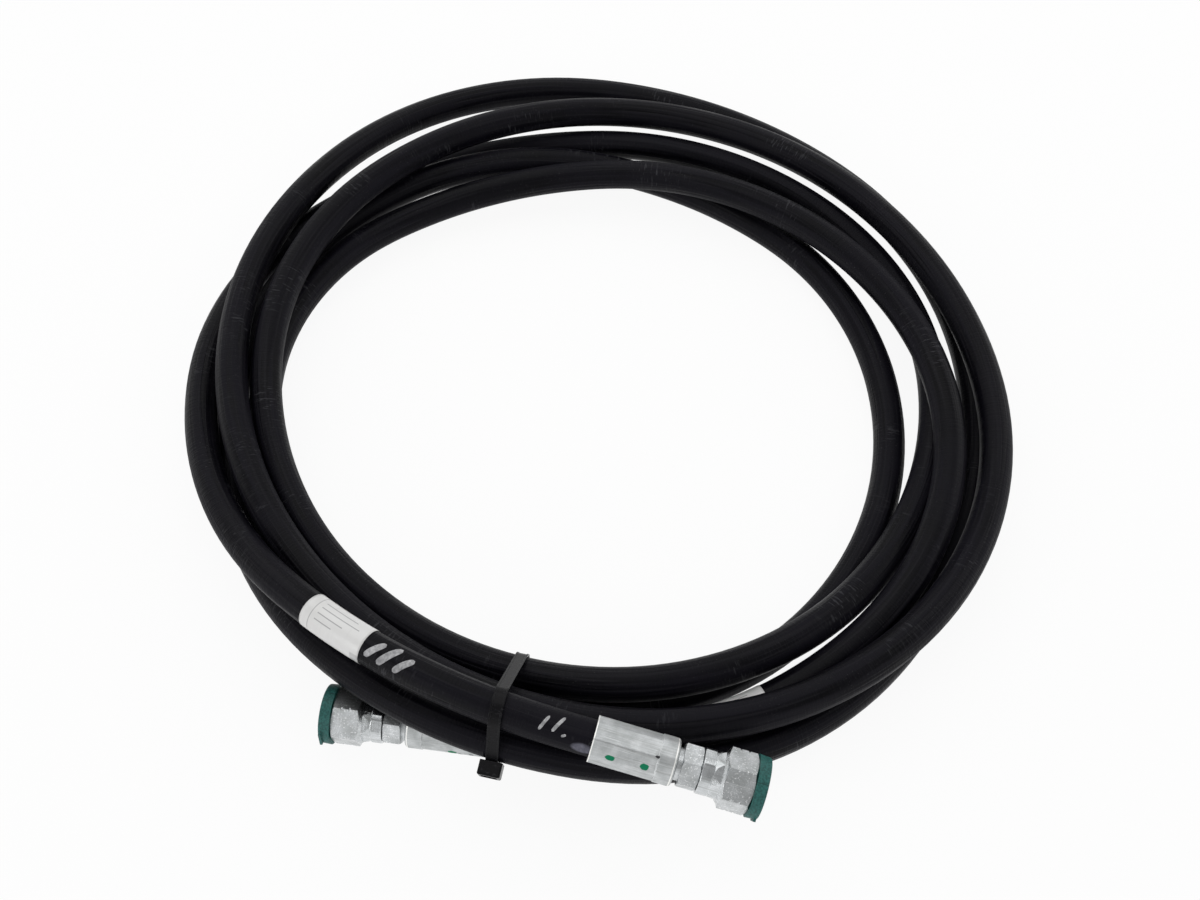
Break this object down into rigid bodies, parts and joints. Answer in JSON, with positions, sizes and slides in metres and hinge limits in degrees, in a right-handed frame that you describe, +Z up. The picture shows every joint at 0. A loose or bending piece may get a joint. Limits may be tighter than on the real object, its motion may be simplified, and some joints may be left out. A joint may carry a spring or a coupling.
{
  "type": "hydraulic hose assembly",
  "caption": "Long black rubber hydraulic hose laid in a loose coil, with a crimped swivel fitting and green dust plug on each end, wrapped labels and a cable tie.",
  "frame": {"origin": "On the floor, under the middle of the assembly's bounding box.", "axes": "+Z up, square to the coil's turns; +X to the right and +Y away from the viewer when both fittings lie at the front."},
  "size_m": [0.5806, 0.6289, 0.0846],
  "materials": {
    "hose_rubber": "matte black wrapped rubber cover",
    "zinc_plate": "zinc plated steel, crimp marks",
    "nut_plate": "zinc plated steel, turned and milled",
    "seal_rubber": "smooth black nitrile rubber",
    "plug_plastic": "moulded teal green plastic",
    "label_paper": "white label film under a clear wrap",
    "tie_nylon": "glossy black nylon"
  },
  "bodies": {
    "hose_body": {"hose": "hose_rubber", "ferrule_a": "zinc_plate", "ferrule_b": "zinc_plate", "insert_a": "zinc_plate", "insert_b": "zinc_plate", "o_ring_a": "seal_rubber", "o_ring_b": "seal_rubber", "label_a": "label_paper", "label_b": "label_paper", "cable_tie": "tie_nylon"},
    "nut_a": {"swivel_nut_a": "nut_plate"},
    "nut_b": {"swivel_nut_b": "nut_plate"},
    "plug_a": {"plug_a": "plug_plastic"},
    "plug_b": {"plug_b": "plug_plastic"}
  },
  "joints": [
    {"name": "nut_a_spin", "type": "hinge", "parent": "hose_body", "child": "nut_a", "pos_m": [-0.14375, -0.2406, 0.0187], "axis": [-0.9904, 0.1382, 0], "continuous": true},
    {"name": "nut_b_spin", "type": "hinge", "parent": "hose_body", "child": "nut_b", "pos_m": [0.07792, -0.28937, 0.05769], "axis": [0.9607, -0.2556, -0.1084], "continuous": true},
    {"name": "plug_a_pull", "type": "slide", "parent": "nut_a", "child": "plug_a", "axis": [-0.9904, 0.1382, 0], "range_m": [0, 0.03]},
    {"name": "plug_b_pull", "type": "slide", "parent": "nut_b", "child": "plug_b", "axis": [0.9607, -0.2556, -0.1084], "range_m": [0, 0.03]}
  ]
}
